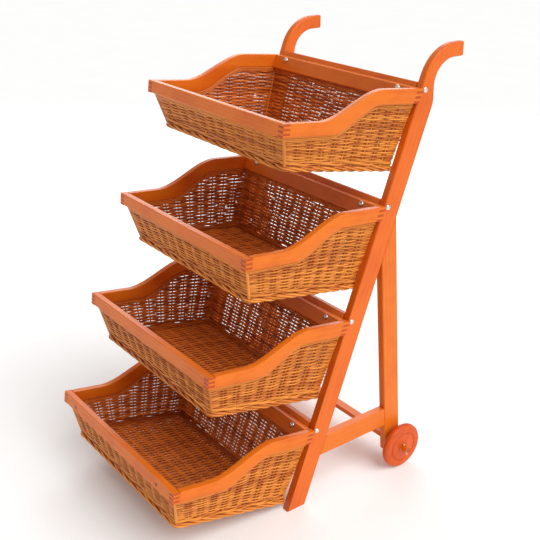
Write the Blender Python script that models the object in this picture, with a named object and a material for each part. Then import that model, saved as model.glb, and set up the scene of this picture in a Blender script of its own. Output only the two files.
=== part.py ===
"""A display stand on two wheels: four wicker baskets bolted to a leaning wooden frame.

The uprights lean back and end in swan-neck handles, two rear legs prop them, and the
wheels turn on a dowel through the legs. Each basket has a finger-jointed wooden rim
whose sides rise in an S from the low front rail to the high back rail.

Metres, +Z up, +Y to the rear, the stand's left side at -X. All depths are first
measured from the front of the uprights' feet, and the whole stand is then moved so
that the origin lies under the middle of its box.
"""

import math

import bmesh
import bpy
from mathutils import Vector

# Clearances
FIT = 0.0003  # between pieces that seat on each other
RUNNING_FIT = 0.0005  # all round the axle, in the wheels

# Frame timber
STAND_WIDTH = 0.590  # across the uprights' outer faces
TIMBER = 0.023  # thickness of every frame piece
UPRIGHT_WIDTH = 0.0555  # across the face that shows from the side
UPRIGHT_SLANT = math.radians(20.6)  # from the vertical, leaning back
EDGE_EASE = 0.0015  # rounding of the timber's long edges

# Swan-neck handles
HANDLE_CENTRE_HEIGHT = 1.1085  # of the bend's centre
HANDLE_GRIP_THICK = 0.038  # inside to outside of the bend
HANDLE_BEND = 0.069  # inner radius
HANDLE_REACH = 0.030  # straight grip past the top of the bend
HANDLE_ROUND = 0.007  # rounding of the grip's edges
NECK_FILLET = 0.080  # where the neck leaves the upright's back edge
ARC_STEPS = 9

# Rear legs and lower rails
LEG_WIDTH = 0.0543
LEG_LEAN = math.radians(5.1)  # from the vertical, leaning forward
LEG_FOOT_DEPTH = 0.3696  # where the leg's front line would meet the floor
LEG_END_HEIGHT = 0.050  # of the cut end above the floor
SIDE_RAIL_LOW = 0.140
SIDE_RAIL_WIDTH = 0.0565
REAR_RAIL_LOW = 0.088
REAR_RAIL_DEEP = 0.028
REAR_RAIL_HIGH = 0.014

# Cross rails behind the baskets
CROSS_RAIL_WIDTH = 0.040
CROSS_RAIL_ABOVE_BOLT = 0.014
TIER_HEIGHTS = (1.108, 0.818, 0.522, 0.226)  # of the bolts through the uprights, top first
TIER_LEANS = tuple(math.radians(angle) for angle in (6.6, 5.1, 7.6, 9.2))  # back down

# Basket rims, in each basket's own frame: across, depth from its front, height
RIM_WIDTH = 0.600
RIM_DEPTH = 0.438
RIM_THICK = 0.019
RIM_ABOVE_BOLT = 0.005  # the rim's back edge above its tier's bolts
FRONT_RAIL_HEIGHT = 0.0325
BACK_RAIL_HEIGHT = 0.037
RIM_RISE = 0.072  # from the low front edge to the high back edge
TOP_CURVE = (0.112, 0.308)  # depths between which the top edge rises
LOW_CURVE = (0.150, 0.302)  # the same for the lower edge
CURVE_STEPS = 10
FINGERS = 6  # at each corner, half of them from each rail

# Wicker bodies
WICKER_THICK = 0.0046  # between the middles of the weave's two faces
WICKER_INSET = 0.0102  # from the rim's outer faces, at the front and sides
WICKER_BACK_INSET = 0.0032  # from the rim's rear face
WEAVE_DEEP = 0.0015  # how far the outer face is woven in and out
WEAVE_COURSES = 6  # between border and rim
FRONT_CELLS = 8  # ins and outs along the front, and along the back: an even count
SIDE_CELLS = 6
WICKER_PINCH = 0.003  # each side's lean inwards from front to back
WICKER_FRONT_DRAFT = 0.037  # how far the wall comes in between rim and border
WICKER_BACK_DRAFT = 0.039
WICKER_SIDE_DRAFT = 0.029
WICKER_DROPS = (0.124, 0.135, 0.135, 0.135)  # front edge of each rim down to its border, top first
FLOOR_FALL = math.radians(3.6)  # of the floor towards the back, against the rim
FRONT_CORNER = (0.012, 0.004)  # radii in plan, at the rim and at the border
BACK_CORNER = (0.028, 0.024)
CORNER_STEPS = 2
BORDER_RADIUS = 0.008
BORDER_ANGLES = tuple(math.radians(angle) for angle in (40, -10, -45, -80))
FLOOR_THICK = 0.008
FLOOR_RECESS = 0.004  # of the floor's underside above the border's

# Wheels and axle
WHEEL_RADIUS = 0.068
WHEEL_THICK = 0.022
TREAD_ROUND = 0.010
TREAD_STEPS = 2
AXLE_BEHIND_LEG_FRONT = 0.0375
AXLE_DIAMETER = 0.019
AXLE_END = 0.019  # past the wheel's hub
HUB_RADIUS = 0.0165
HUB_PROUD = 0.0025  # of the boss on each face
GROOVE_RADIUS = 0.0435
GROOVE_WIDE = 0.003
GROOVE_DEEP = 0.002
SPACER_THICK = 0.0110  # between leg and wheel
PIN_DIAMETER = 0.003
PIN_ABOVE = 0.014  # the pin's upper end over the axle's middle
PIN_BELOW = 0.034
PIN_TURN = math.radians(20)  # from the vertical
PIN_HEAD_RADIUS = 0.0035
PIN_HEAD_HIGH = 0.002
WHEEL_STEPS = 28
AXLE_STEPS = 24

# Bolts
BOLT_SHANK = 0.006
BOLT_HEAD = 0.0155
BOLT_HEAD_HIGH = 0.0045
FRAME_BOLT_LENGTH = 0.055  # under the head
BASKET_BOLT_LENGTH = 0.037
BASKET_BOLT_INSET = 0.065  # from the uprights' outer faces
BASKET_BOLT_DROP = 0.013  # under the bolts through the uprights
BOLT_STEPS = 10

HALF_WIDTH = STAND_WIDTH / 2
HALF_RIM = RIM_WIDTH / 2
SLANT_TAN = math.tan(UPRIGHT_SLANT)
SLANT_COS = math.cos(UPRIGHT_SLANT)
LEG_TAN = math.tan(LEG_LEAN)
AXLE_HEIGHT = WHEEL_RADIUS
AXLE_RADIUS = AXLE_DIAMETER / 2
BOLT_HOLE = BOLT_SHANK / 2 + FIT
HOLE_SPARE = FIT  # a drilled hole starts this far off the face and goes this far past the tip
SIDES = (("left", -1), ("right", 1))


def clear_scene():
    for old in list(bpy.data.objects):
        bpy.data.objects.remove(old, do_unlink=True)


def make_material(name, colour, roughness, metallic=0.0):
    material = bpy.data.materials.new(name)
    material.use_nodes = True
    shader = material.node_tree.nodes["Principled BSDF"]
    shader.inputs["Base Color"].default_value = (*colour, 1.0)
    shader.inputs["Roughness"].default_value = roughness
    shader.inputs["Metallic"].default_value = metallic
    material.diffuse_color = (*colour, 1.0)
    return material


def make_empty(name, parent=None, location=(0, 0, 0), turn=0.0):
    """A frame to hang pieces on, turned about X."""
    empty = bpy.data.objects.new(name, None)
    empty.location = location
    empty.rotation_euler = (turn, 0, 0)
    empty.parent = parent
    bpy.context.scene.collection.objects.link(empty)
    return empty


def make_object(name, shape, material, parent, smooth=False):
    """Turns a bmesh into a named object, its faces pointing out."""
    bmesh.ops.recalc_face_normals(shape, faces=shape.faces)
    mesh = bpy.data.meshes.new(name)
    shape.to_mesh(mesh)
    shape.free()
    mesh.materials.append(material)
    if smooth:
        mesh.shade_smooth()
        mesh.set_sharp_from_angle(angle=math.radians(35))
    made = bpy.data.objects.new(name, mesh)
    made.parent = parent
    bpy.context.scene.collection.objects.link(made)
    return made


def extruded(outline, along):
    """A bmesh of a flat outline, given as points in space, swept along a vector."""
    shape = bmesh.new()
    base = shape.faces.new([shape.verts.new(point) for point in outline])
    swept = bmesh.ops.extrude_face_region(shape, geom=[base])
    moved = [item for item in swept["geom"] if isinstance(item, bmesh.types.BMVert)]
    bmesh.ops.translate(shape, verts=moved, vec=along)
    return shape


def lofted(rings, closed=False):
    """A bmesh through rings of points, capped at both ends unless the last meets the first."""
    shape = bmesh.new()
    made = [[shape.verts.new(point) for point in ring] for ring in rings]
    pairs = list(zip(made, made[1:]))
    if closed:
        pairs.append((made[-1], made[0]))
    else:
        shape.faces.new(made[0])
        shape.faces.new(made[-1])
    for first, second in pairs:
        for step, corner in enumerate(first):
            after = (step + 1) % len(first)
            shape.faces.new((corner, first[after], second[after], second[step]))
    return shape


def turned(profile, steps, closed=False):
    """A bmesh of (along, radius) points turned about X: a capped rod, or a closed ring."""
    turns = [math.tau * step / steps for step in range(steps)]
    rings = [
        [(along, radius * math.sin(turn), -radius * math.cos(turn)) for turn in turns]
        for along, radius in profile
    ]
    return lofted(rings, closed)


def ring_profile(start, thick, inner, outer):
    """The profile of a plain washer or spacer, for turned."""
    return ((start, inner), (start, outer), (start + thick, outer), (start + thick, inner))


def aim(made, location, direction):
    """Places a turned piece and swings its own X onto a direction."""
    made.location = location
    made.rotation_mode = "QUATERNION"
    made.rotation_quaternion = Vector((1, 0, 0)).rotation_difference(Vector(direction))
    return made


def ease_edges(made, width, chosen, segments=1):
    """Rounds edges by a modifier: chosen gives each edge's share of the width."""
    mesh = made.data
    weights = mesh.attributes.new("bevel_weight_edge", "FLOAT", "EDGE")
    for edge in mesh.edges:
        ends = [mesh.vertices[index].co for index in edge.vertices]
        weights.data[edge.index].value = chosen(*ends)
    bevel = made.modifiers.new("Eased edges", "BEVEL")
    bevel.limit_method = "WEIGHT"
    bevel.width = width
    bevel.segments = segments


def drill(made, *cutters):
    for cutter in cutters:
        hole = made.modifiers.new("Drilled", "BOOLEAN")
        hole.operation = "DIFFERENCE"
        hole.solver = "EXACT"
        hole.object = cutter


def make_cutter(name, radius, location, direction, length, steps, parent):
    """A hidden round rod from a point along a direction, to drill with."""
    rod = turned(((0, radius), (length, radius)), steps)
    cutter = make_object(name, rod, WOOD, parent)
    cutter.hide_render = True
    cutter.display_type = "WIRE"
    return aim(cutter, location, direction)


def upright_front(height):
    """Depth of the uprights' front face at a height."""
    return height * SLANT_TAN


def upright_back(height):
    return upright_front(height) + UPRIGHT_WIDTH / SLANT_COS


def leg_front(height):
    return LEG_FOOT_DEPTH - height * LEG_TAN


def leg_back(height):
    return leg_front(height) + LEG_WIDTH / math.cos(LEG_LEAN)


def mitre_height(foot_depth):
    """Where a line of the leg, given by its depth at the floor, meets the upright's back."""
    return (foot_depth - (UPRIGHT_WIDTH + FIT) / SLANT_COS) / (SLANT_TAN + LEG_TAN)


def arc(centre, radius, start, end, steps):
    """Points of an arc in the side view, its angles measured from the rear towards up."""
    turns = [start + (end - start) * step / steps for step in range(steps + 1)]
    return [(centre[0] + radius * math.cos(t), centre[1] + radius * math.sin(t)) for t in turns]


def upright_outline():
    """The upright's side view as (depth, height): foot, front, bend, grip, neck and back."""
    outer = HANDLE_BEND + HANDLE_GRIP_THICK
    centre = (upright_front(HANDLE_CENTRE_HEIGHT) + outer / SLANT_COS, HANDLE_CENTRE_HEIGHT)
    grip_end = centre[0] + HANDLE_REACH
    points = [(upright_front(0), 0.0)]
    points += arc(centre, outer, math.pi - UPRIGHT_SLANT, math.pi / 2, ARC_STEPS)
    points += [(grip_end, centre[1] + outer), (grip_end, centre[1] + HANDLE_BEND)]
    points += arc(centre, HANDLE_BEND, math.pi / 2, math.pi, ARC_STEPS)
    # The neck drops straight from the bend, then a fillet turns it along the back edge.
    neck = centre[0] - HANDLE_BEND
    meeting = (neck - upright_back(0)) / SLANT_TAN
    start = meeting + NECK_FILLET * math.tan(UPRIGHT_SLANT / 2)
    points += arc((neck - NECK_FILLET, start), NECK_FILLET, 0, -UPRIGHT_SLANT, 3)
    points.append((upright_back(0), 0.0))
    return points


def plate(name, outline, side, material, parent):
    """A frame timber cut to a side view, at one side of the stand."""
    low = min(side * HALF_WIDTH, side * (HALF_WIDTH - TIMBER))
    points = [(low, depth, height) for depth, height in outline]
    return make_object(name, extruded(points, (TIMBER, 0, 0)), material, parent)


def same_face(first, second):
    """Whether an edge runs along one outer face of a plate, not across its thickness."""
    return abs(first.x - second.x) < TIMBER / 2


def ease_upright(made):
    """Small rounding along the upright, and a full one along the handle."""
    grip_low = HANDLE_CENTRE_HEIGHT
    grip_end = max(corner.co.y for corner in made.data.vertices)

    def share(first, second):
        if max(first.z, second.z) < FIT:
            return 0.0
        if min(first.z, second.z) >= grip_low:
            at_end = min(first.y, second.y) > grip_end - FIT
            return 1.0 if same_face(first, second) or at_end else 0.0
        return EDGE_EASE / HANDLE_ROUND if same_face(first, second) else 0.0

    ease_edges(made, HANDLE_ROUND, share, segments=2)


def ease_long_edges(made):
    """Rounds a straight timber's edges, all but those at a foot on the floor."""
    ease_edges(made, EDGE_EASE, lambda first, second: float(same_face(first, second)))


def add_side(side_name, side, parent):
    """One side of the frame: upright, rear leg and the rail between them."""
    upright = plate("upright_" + side_name, upright_outline(), side, WOOD, parent)
    ease_upright(upright)

    leg_outline = [
        (leg_front(LEG_END_HEIGHT), LEG_END_HEIGHT),
        (leg_back(LEG_END_HEIGHT), LEG_END_HEIGHT),
        (leg_back(mitre_height(leg_back(0))), mitre_height(leg_back(0))),
        (leg_front(mitre_height(leg_front(0))), mitre_height(leg_front(0))),
    ]
    leg = plate("rear_leg_" + side_name, leg_outline, side, WOOD, parent)
    ease_long_edges(leg)

    low, high = SIDE_RAIL_LOW, SIDE_RAIL_LOW + SIDE_RAIL_WIDTH
    gap_up, gap_leg = FIT / SLANT_COS, FIT / math.cos(LEG_LEAN)
    rail_outline = [
        (upright_back(low) + gap_up, low),
        (leg_front(low) - gap_leg, low),
        (leg_front(high) - gap_leg, high),
        (upright_back(high) + gap_up, high),
    ]
    rail = plate("side_rail_" + side_name, rail_outline, side, WOOD, parent)
    ease_long_edges(rail)
    return upright, leg


def add_bar(name, low, high, parent):
    """A square timber between two corners, its edges along X rounded."""
    (x0, y0, z0), (x1, y1, z1) = low, high
    outline = [(x0, y0, z0), (x0, y1, z0), (x0, y1, z1), (x0, y0, z1)]
    bar = make_object(name, extruded(outline, (x1 - x0, 0, 0)), WOOD, parent)
    ease_edges(bar, EDGE_EASE, lambda first, second: float(not same_face(first, second)))
    return bar


def bolt(name, location, direction, length, parent):
    """A round-headed bolt, its head on the surface at a point and its shank going in."""
    head = BOLT_HEAD / 2
    crown = [
        (-BOLT_HEAD_HIGH * math.sin(turn), head * math.cos(turn))
        for turn in (math.radians(75), math.radians(35), 0)
    ]
    profile = [*crown, (0, BOLT_SHANK / 2), (length, BOLT_SHANK / 2)]
    made = make_object(name, turned(profile, BOLT_STEPS), STEEL, parent, smooth=True)
    return aim(made, Vector(location) - FIT * Vector(direction), direction)


def eased(depth, start, end):
    """A smooth 0 to 1 rise between two depths, level at both ends."""
    share = min(max((depth - start) / (end - start), 0), 1)
    return share * share * (3 - 2 * share)


def rim_top(depth):
    return RIM_RISE * eased(depth, *TOP_CURVE)


def rim_low(depth):
    climb = FRONT_RAIL_HEIGHT + RIM_RISE - BACK_RAIL_HEIGHT
    return climb * eased(depth, *LOW_CURVE) - FRONT_RAIL_HEIGHT


def curve_depths():
    """The depths at which both the rails and the wicker follow the S."""
    start, end = min(TOP_CURVE[0], LOW_CURVE[0]), max(TOP_CURVE[1], LOW_CURVE[1])
    return [start + (end - start) * step / CURVE_STEPS for step in range(CURVE_STEPS + 1)]


def comb(high, low, own_first, root):
    """One end of a rail from its top down, as (reach, height): its fingers and notches.

    Reach is 0 at a finger's tip and -root in a notch for the other rail's finger.
    """
    points = []
    for finger in range(FINGERS):
        own = (finger % 2 == 0) == own_first
        top = high + (low - high) * finger / FINGERS
        bottom = high + (low - high) * (finger + 1) / FINGERS
        trim = FIT / 2 if own else -FIT / 2
        top -= trim if finger else 0
        bottom += trim if finger < FINGERS - 1 else 0
        reach = 0 if own else -root
        points += [(reach, top), (reach, bottom)]
    return points


class Basket:
    """One basket, built in its own frame: across, depth from its front, height."""

    def __init__(self, number, tier_height, lean, drop, parent):
        self.name = f"basket_{number}"
        self.drop = drop
        self.lean = UPRIGHT_SLANT - lean  # of the uprights, seen from the basket
        seat_height = tier_height + RIM_ABOVE_BOLT
        seat_depth = upright_front(seat_height) - FIT / SLANT_COS
        front = seat_depth - RIM_DEPTH * math.cos(lean) - RIM_RISE * math.sin(lean)
        height = seat_height + RIM_DEPTH * math.sin(lean) - RIM_RISE * math.cos(lean)
        self.frame = make_empty(self.name, parent, (0, front, height), -lean)
        self.under_rim = self.rear(RIM_RISE - BACK_RAIL_HEIGHT) - WICKER_BACK_INSET

    def rear(self, height):
        """Depth of the rim's rear face, which lies along the uprights."""
        return RIM_DEPTH - (RIM_RISE - height) * math.tan(self.lean)

    def side_rail(self, side_name, side):
        """An S-curved side of the rim, with fingers at both ends."""
        root = (RIM_THICK + FIT) / math.cos(self.lean)
        back = comb(RIM_RISE, RIM_RISE - BACK_RAIL_HEIGHT, True, root)
        front = comb(0, -FRONT_RAIL_HEIGHT, False, RIM_THICK + FIT)
        outline = [(depth, rim_top(depth)) for depth in curve_depths()]
        outline += [(self.rear(height) + reach, height) for reach, height in back]
        outline += [(depth, rim_low(depth)) for depth in reversed(curve_depths())]
        outline += [(-reach, height) for reach, height in reversed(front)]
        x = min(side * HALF_RIM, side * (HALF_RIM - RIM_THICK))
        points = [(x, depth, height) for depth, height in outline]
        name = f"{self.name}_{side_name}_rail"
        rail = make_object(name, extruded(points, (RIM_THICK, 0, 0)), WOOD, self.frame)
        nearest, furthest = RIM_THICK + 2 * FIT, self.rear(RIM_RISE) - root

        def on_curve(first, second):
            if not same_face(first, second) or min(first.y, second.y) > furthest:
                return 0.0
            if max(first.y, second.y) < nearest:
                return 0.0
            upper = all(abs(end.z - rim_top(end.y)) < FIT / 3 for end in (first, second))
            lower = all(abs(end.z - rim_low(end.y)) < FIT / 3 for end in (first, second))
            return float(upper or lower)

        ease_edges(rail, EDGE_EASE, on_curve)

    def cross_piece(self, name, high, low, own_first, depth_at, thick):
        """The front or back rail: a bar across the basket with fingers at both ends."""
        end = comb(high, low, own_first, RIM_THICK + FIT)
        outline = [(HALF_RIM + reach, height) for reach, height in end]
        outline += [(-x, height) for x, height in reversed(outline)]
        points = [(x, depth_at(height), height) for x, height in outline]
        rail = make_object(name, extruded(points, (0, thick, 0)), WOOD, self.frame)

        def long_edge(first, second):
            level = abs(first.z - second.z) < FIT / 3
            outer = min(abs(first.z - high), abs(first.z - low)) < FIT / 3
            return float(level and outer and abs(first.x - second.x) > HALF_RIM)

        ease_edges(rail, EDGE_EASE, long_edge)
        return rail

    def front_rail(self):
        name = self.name + "_front_rail"
        return self.cross_piece(name, 0, -FRONT_RAIL_HEIGHT, True, lambda height: 0.0, RIM_THICK)

    def back_rail(self):
        thick = RIM_THICK / math.cos(self.lean)
        low = RIM_RISE - BACK_RAIL_HEIGHT
        name = self.name + "_back_rail"
        return self.cross_piece(name, RIM_RISE, low, False, lambda z: self.rear(z) - thick, thick)

    def wall_depths(self):
        """Depths along a side wall: those of the S, and one more along each straight end."""
        curve = curve_depths()
        before = (WICKER_INSET + curve[0]) / 2
        return [before, *curve, (curve[-1] + self.under_rim) / 2]

    def plan(self, inset, lowered, course=None):
        """The wicker wall's outline in plan at the rim, or lowered to the border.

        A course number weaves it in and out, from one cell to the next round the basket.
        """
        front = WICKER_INSET + WICKER_FRONT_DRAFT * lowered
        back = self.under_rim - WICKER_BACK_DRAFT * lowered
        half = HALF_RIM - WICKER_INSET - WICKER_SIDE_DRAFT * lowered
        middle_cells = FRONT_CELLS // 2

        def inside(cell):
            woven = 0 if course is None else math.cos(math.pi * (cell + course))
            return inset - WEAVE_DEEP * woven

        def corner(radii, cell, turn):
            gap = inside(cell)
            radius = max(radii[lowered] - gap, FIT * 10)
            depth = front + gap + radius if turn else back - gap - radius
            angles = [turn + math.pi / 2 * step / CORNER_STEPS for step in range(CORNER_STEPS + 1)]
            across = half - gap - radius
            return [(across + radius * math.cos(a), depth + radius * math.sin(a)) for a in angles]

        right = [(half * n / middle_cells, front + inside(n)) for n in range(middle_cells)]
        right += corner(FRONT_CORNER, middle_cells, -math.pi / 2)
        for depth in self.wall_depths():
            share = (depth - WICKER_INSET) / (self.under_rim - WICKER_INSET)
            across = half - inside(middle_cells + SIDE_CELLS * share)
            right.append((across, front + inset + (back - front - 2 * inset) * share))
        right += corner(BACK_CORNER, middle_cells + SIDE_CELLS, 0.0)
        for n in reversed(range(middle_cells)):
            right.append((half * n / middle_cells, back - inside(FRONT_CELLS + SIDE_CELLS - n)))
        length = back - front
        right = [(x - WICKER_PINCH * x / half * (y - front) / length, y) for x, y in right]
        return right + [(-x, depth) for x, depth in reversed(right[1:-1])]

    def border_height(self, depth):
        """Height of the border's underside at a depth."""
        fall = (depth - WICKER_INSET - WICKER_FRONT_DRAFT) * math.tan(FLOOR_FALL)
        return -self.drop - fall

    def ring(self, inset, share, lift=0.0, course=None):
        """A ring of the wicker: share 0 lies under the rim, share 1 over the border."""
        points = []
        plans = self.plan(inset, 0, course), self.plan(inset, 1, course)
        for (x0, y0), (x1, y1) in zip(*plans):
            high = rim_low(y0) - FIT
            low = self.border_height(y1) + lift
            x, y, z = x0 + (x1 - x0) * share, y0 + (y1 - y0) * share, high + (low - high) * share
            points.append((x, y, z))
        return points

    def wicker(self):
        """The woven body as one shell: tapered walls, a rolled border and a floor.

        Outside, the walls carry the weave's main relief as a few broad courses.
        """
        border = [
            self.ring(-BORDER_RADIUS * math.cos(turn), 1, BORDER_RADIUS * (1 + math.sin(turn)))
            for turn in BORDER_ANGLES
        ]
        floor = FLOOR_RECESS + FLOOR_THICK
        over_border = 1 - 2 * BORDER_RADIUS / self.drop
        courses = [
            self.ring(0, over_border * (1 - course / WEAVE_COURSES), 0, course)
            for course in range(1, WEAVE_COURSES)
        ]
        rings = [
            self.ring(WICKER_THICK, 1, FLOOR_RECESS),
            *reversed(border),
            self.ring(0, over_border),
            *courses,
            self.ring(0, 0),
            self.ring(WICKER_THICK, 0),
            self.ring(WICKER_THICK, 1, floor),
        ]
        make_object(self.name + "_wicker", lofted(rings), WICKER, self.frame)


def add_tier(number, height, lean, drop, uprights, stand):
    """A cross rail, the basket in front of it and the bolts that hold both."""
    on_plane = height + math.sin(UPRIGHT_SLANT) * TIMBER / 2
    tier = make_empty(f"tier_{number}", stand, (0, upright_front(on_plane), on_plane), -UPRIGHT_SLANT)
    inner = HALF_WIDTH - TIMBER - FIT
    low = CROSS_RAIL_ABOVE_BOLT - CROSS_RAIL_WIDTH
    rail = add_bar(
        f"cross_rail_{number}", (-inner, 0, low), (inner, TIMBER, CROSS_RAIL_ABOVE_BOLT), tier
    )

    basket = Basket(number, height, lean, drop, stand)
    basket.front_rail()
    back_rail = basket.back_rail()
    for side_name, side in SIDES:
        basket.side_rail(side_name, side)
    basket.wicker()

    for side_name, side in SIDES:
        inwards = (-side, 0, 0)
        start = (side * HALF_WIDTH, TIMBER / 2, 0)
        bolt(f"frame_bolt_{number}_{side_name}", start, inwards, FRAME_BOLT_LENGTH, tier)
        mouth = (side * (HALF_WIDTH + HOLE_SPARE), TIMBER / 2, 0)
        hole = (BOLT_HOLE, mouth, inwards, FRAME_BOLT_LENGTH + 2 * HOLE_SPARE)
        cutter = make_cutter(f"frame_hole_{number}_{side_name}", *hole, BOLT_STEPS, tier)
        drill(uprights[side_name], cutter)
        drill(rail, cutter)

        across = side * (HALF_WIDTH - BASKET_BOLT_INSET)
        face = -FIT - RIM_THICK
        start = (across, face, -BASKET_BOLT_DROP)
        bolt(f"basket_bolt_{number}_{side_name}", start, (0, 1, 0), BASKET_BOLT_LENGTH, tier)
        mouth = (across, face - HOLE_SPARE, -BASKET_BOLT_DROP)
        hole = (BOLT_HOLE, mouth, (0, 1, 0), BASKET_BOLT_LENGTH + 2 * HOLE_SPARE)
        cutter = make_cutter(f"basket_hole_{number}_{side_name}", *hole, BOLT_STEPS, tier)
        drill(back_rail, cutter)
        drill(rail, cutter)


def wheel_profile(start):
    """A turned wheel from its inner hub face out, as a closed (along, radius) loop."""
    inner, outer = start + HUB_PROUD, start + HUB_PROUD + WHEEL_THICK
    bore = AXLE_RADIUS + RUNNING_FIT
    shoulder = WHEEL_RADIUS - TREAD_ROUND
    quarter = [math.pi / 2 * step / TREAD_STEPS for step in range(TREAD_STEPS + 1)]
    inner_tread = [
        (inner + TREAD_ROUND * (1 - math.cos(t)), shoulder + TREAD_ROUND * math.sin(t))
        for t in quarter
    ]
    outer_tread = [
        (outer - TREAD_ROUND * (1 - math.cos(t)), shoulder + TREAD_ROUND * math.sin(t))
        for t in reversed(quarter)
    ]
    return [
        (start, bore),
        (start, HUB_RADIUS),
        (inner, HUB_RADIUS),
        *inner_tread,
        *outer_tread,
        (outer, GROOVE_RADIUS + GROOVE_WIDE / 2),
        (outer - GROOVE_DEEP, GROOVE_RADIUS),
        (outer, GROOVE_RADIUS - GROOVE_WIDE / 2),
        (outer, HUB_RADIUS),
        (outer + HUB_PROUD, HUB_RADIUS),
        (outer + HUB_PROUD, bore),
    ]


def add_wheels(legs, stand):
    """The dowel through both legs, and on each end a spacer, a wheel and a pin."""
    axle_depth = leg_front(AXLE_HEIGHT) + AXLE_BEHIND_LEG_FRONT
    centre = make_empty("axle_centre", stand, (0, axle_depth, AXLE_HEIGHT))
    bore = AXLE_RADIUS + RUNNING_FIT
    spacer = HALF_WIDTH + FIT
    wheel = spacer + SPACER_THICK + FIT
    wheel_end = wheel + WHEEL_THICK + 2 * HUB_PROUD
    pin = wheel_end + FIT + PIN_HEAD_RADIUS
    axle_end = wheel_end + AXLE_END
    rod = turned(((-axle_end, AXLE_RADIUS), (axle_end, AXLE_RADIUS)), AXLE_STEPS)
    axle = make_object("axle", rod, WOOD, centre, smooth=True)

    for side_name, side in SIDES:
        outwards = (side, 0, 0)
        profile = ring_profile(spacer, SPACER_THICK, bore, HUB_RADIUS)
        ring = turned(profile, AXLE_STEPS, closed=True)
        aim(make_object("wheel_spacer_" + side_name, ring, WOOD, centre, True), (0, 0, 0), outwards)
        ring = turned(wheel_profile(wheel), WHEEL_STEPS, closed=True)
        aim(make_object("wheel_" + side_name, ring, WHEEL_WOOD, centre, True), (0, 0, 0), outwards)

        # The pin hangs through the axle, its lower end leaning back.
        hanging = Vector((0, math.sin(PIN_TURN), -math.cos(PIN_TURN)))
        profile = (
            (-PIN_ABOVE, PIN_HEAD_RADIUS),
            (PIN_HEAD_HIGH - PIN_ABOVE, PIN_HEAD_RADIUS),
            (PIN_HEAD_HIGH - PIN_ABOVE, PIN_DIAMETER / 2),
            (PIN_BELOW, PIN_DIAMETER / 2),
        )
        nail = make_object("axle_pin_" + side_name, turned(profile, BOLT_STEPS), STEEL, centre, True)
        aim(nail, (side * pin, 0, 0), hanging)
        mouth = Vector((side * pin, 0, 0)) - hanging * AXLE_DIAMETER
        hole = (PIN_DIAMETER / 2 + FIT, mouth, hanging, 2 * AXLE_DIAMETER)
        drill(axle, make_cutter("pin_hole_" + side_name, *hole, BOLT_STEPS, centre))
        hole = (AXLE_RADIUS + FIT, (side * (HALF_WIDTH - 2 * TIMBER), 0, 0), outwards, 3 * TIMBER)
        drill(legs[side_name], make_cutter("axle_hole_" + side_name, *hole, AXLE_STEPS, centre))


def centre_on_origin(stand):
    """Moves the stand so that the origin lies under the middle of its box."""
    bpy.context.view_layer.update()
    graph = bpy.context.evaluated_depsgraph_get()
    corners = []
    for made in bpy.context.scene.objects:
        if made.type == "MESH" and not made.hide_render:
            evaluated = made.evaluated_get(graph)
            corners += [evaluated.matrix_world @ vertex.co for vertex in evaluated.data.vertices]
    for axis in range(3):
        low = min(corner[axis] for corner in corners)
        high = max(corner[axis] for corner in corners)
        stand.location[axis] -= low if axis == 2 else (low + high) / 2


clear_scene()
WOOD = make_material("Stained wood", (0.72, 0.19, 0.035), 0.35)
WHEEL_WOOD = make_material("Stained wheel wood", (0.62, 0.11, 0.03), 0.4)
WICKER = make_material("Wicker", (0.42, 0.17, 0.04), 0.55)
STEEL = make_material("Plated steel", (0.75, 0.74, 0.70), 0.25, 1.0)

stand = make_empty("stand")
uprights, legs = {}, {}
for side_name, side in SIDES:
    uprights[side_name], legs[side_name] = add_side(side_name, side, stand)
for number, tier in enumerate(zip(TIER_HEIGHTS, TIER_LEANS, WICKER_DROPS), start=1):
    add_tier(number, *tier, uprights, stand)
rail_front = leg_front(REAR_RAIL_LOW + REAR_RAIL_HIGH)
inner = HALF_WIDTH - TIMBER - FIT
add_bar(
    "rear_cross_rail",
    (-inner, rail_front, REAR_RAIL_LOW),
    (inner, rail_front + REAR_RAIL_DEEP, REAR_RAIL_LOW + REAR_RAIL_HIGH),
    stand,
)
add_wheels(legs, stand)
centre_on_origin(stand)
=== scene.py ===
# %% [markdown]
# # A display stand with four wicker baskets
# The real stand is a leaning frame of stained softwood. Four woven baskets with wooden
# rims are bolted to its front, and two wooden wheels sit behind. We first load the solid
# model of its joinery. Straight timbers stay as they are and get a better finish. What
# is curved, turned or woven is made anew below, in the same place.

# %% Load the solid model
import math

import bmesh
import bpy
import numpy as np
from mathutils import Matrix, Vector


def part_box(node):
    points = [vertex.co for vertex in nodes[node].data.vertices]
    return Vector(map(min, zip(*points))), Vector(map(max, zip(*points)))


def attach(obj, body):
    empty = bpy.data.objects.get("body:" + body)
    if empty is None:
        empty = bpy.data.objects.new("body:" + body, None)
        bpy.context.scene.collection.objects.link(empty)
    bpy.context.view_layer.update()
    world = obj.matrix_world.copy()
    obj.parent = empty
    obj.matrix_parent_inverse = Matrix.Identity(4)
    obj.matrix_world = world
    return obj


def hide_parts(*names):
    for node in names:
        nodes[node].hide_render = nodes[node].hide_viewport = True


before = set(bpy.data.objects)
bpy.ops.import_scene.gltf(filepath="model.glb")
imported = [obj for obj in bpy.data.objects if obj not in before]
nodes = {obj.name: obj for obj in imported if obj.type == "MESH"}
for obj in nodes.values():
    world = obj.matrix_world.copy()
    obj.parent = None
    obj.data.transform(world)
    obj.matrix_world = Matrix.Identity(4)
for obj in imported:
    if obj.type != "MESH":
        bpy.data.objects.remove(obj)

scene = bpy.context.scene
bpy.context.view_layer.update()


def rounded(points):
    """Points with their numbers cut to tenths of a millimetre, for printing."""
    return [[round(float(value), 4) for value in point] for point in points]


# %% [markdown]
# ## Where the eye stands
# Product pictures are taken from a little above, with a long lens, so that upright lines
# stay nearly parallel. We put the camera by its place and two turns, which is easier to
# adjust than a target. The plain view transform keeps the pale floor white and the stain
# as bright as it is.

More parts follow.
